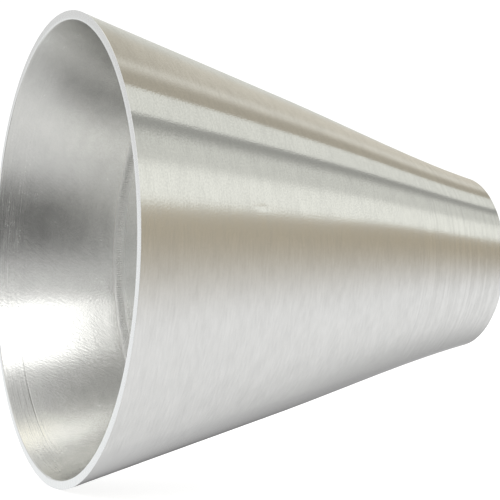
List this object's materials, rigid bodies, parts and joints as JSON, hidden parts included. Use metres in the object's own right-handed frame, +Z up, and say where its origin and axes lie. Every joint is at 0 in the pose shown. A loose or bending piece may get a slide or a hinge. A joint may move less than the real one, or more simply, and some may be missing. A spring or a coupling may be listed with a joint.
{
  "type": "concentric reducer",
  "caption": "Long conical butt-weld pipe reducer of brushed sheet steel, open at both ends, with a girth weld inside.",
  "frame": {"origin": "centre of the large-end weld face, on the bore axis", "axes": "+X along the bore from the large end to the small end; +Z up with the bore level"},
  "size_m": [0.102, 0.104, 0.104],
  "materials": {
    "brushed_shell": "brushed round the cone outside, smoother satin inside",
    "weld_metal": "dressed weld metal, rippled root bead inside"
  },
  "bodies": {
    "root": {"large_course": "brushed_shell", "large_course_seam_weld": "weld_metal", "main_course": "brushed_shell", "main_course_seam_weld": "weld_metal", "girth_weld": "weld_metal"}
  },
  "joints": []
}
